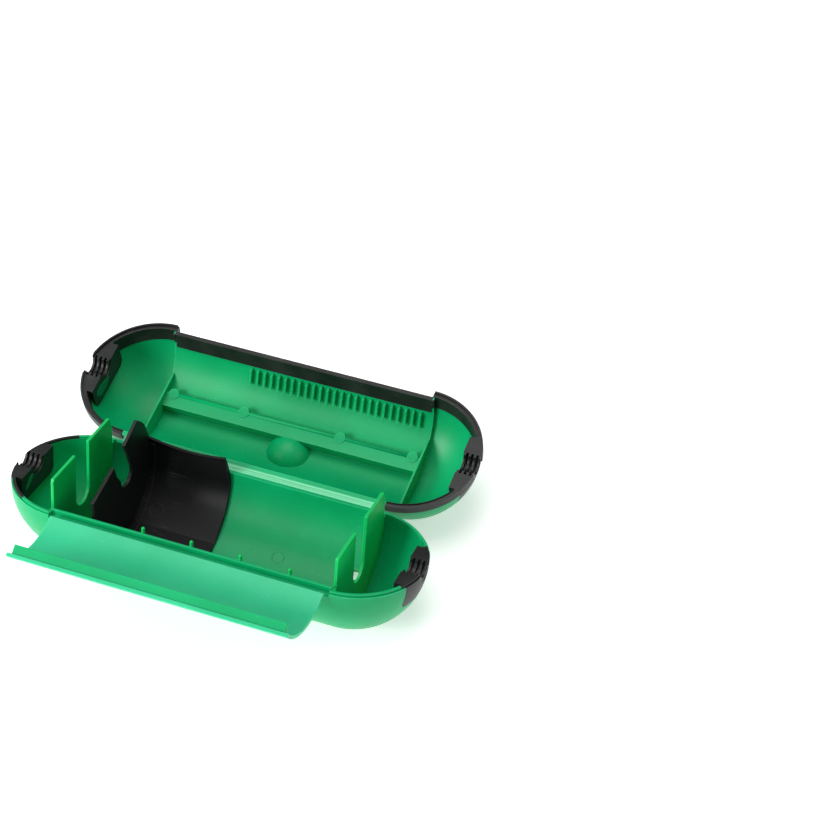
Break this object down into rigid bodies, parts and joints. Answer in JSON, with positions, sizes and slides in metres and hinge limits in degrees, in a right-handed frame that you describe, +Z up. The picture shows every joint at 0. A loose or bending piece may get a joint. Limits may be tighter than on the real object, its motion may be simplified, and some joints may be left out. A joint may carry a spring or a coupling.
{
  "type": "cable connection box",
  "caption": "Two-part capsule box that shuts round an extension lead's plug and socket, with rubber cable glands, a wrap-over latch panel and a sliding cable stop.",
  "frame": {"origin": "on the floor under the middle of the open box, midway between its two ends and midway between the latch tip and the lid's far rim", "axes": "+X along the cable and the hinges, +Y from the latch side towards the open lid, +Z up"},
  "size_m": [0.215, 0.1894, 0.064],
  "materials": {
    "case_green": "satin moulded polypropylene with soft reflections and faint scuffs",
    "hinge_film": "stress-whitened film hinge, satin",
    "seal_rubber": "matt moulded soft rubber",
    "slider_black": "fine satin black moulding"
  },
  "bodies": {
    "base": {"base_shell": "case_green", "base_hinge_leaf": "hinge_film", "base_latch_leaf": "case_green", "base_front_lip": "case_green", "base_rim_lip_left": "case_green", "base_rim_lip_right": "case_green", "base_partition_left": "case_green", "base_partition_right": "case_green", "base_locating_pegs": "case_green", "base_drain_collar": "case_green", "base_gland_left": "seal_rubber", "base_gland_right": "seal_rubber"},
    "lid": {"lid_shell": "case_green", "lid_hinge_leaf": "hinge_film", "lid_rim_seal": "seal_rubber", "lid_gland_left": "seal_rubber", "lid_gland_right": "seal_rubber", "lid_cross_plate_left": "case_green", "lid_cross_plate_right": "case_green", "lid_locating_fins": "case_green", "lid_ejector_pads": "case_green"},
    "latch": {"latch_panel": "case_green", "latch_hook": "case_green"},
    "slider": {"slider_plate": "slider_black", "slider_cradle": "slider_black"}
  },
  "joints": [
    {"name": "lid_hinge", "type": "hinge", "parent": "base", "child": "lid", "pos_m": [0, 0.02057, 0.02932], "axis": [1, 0, 0], "range_deg": [0, 157.6]},
    {"name": "latch_hinge", "type": "hinge", "parent": "base", "child": "latch", "pos_m": [0, -0.05212, 0.04457], "axis": [1, 0, 0], "range_deg": [-119.6, 31]},
    {"name": "slider_travel", "type": "slide", "parent": "base", "child": "slider", "axis": [1, 0, 0], "range_m": [-0.0175, 0.068]}
  ]
}
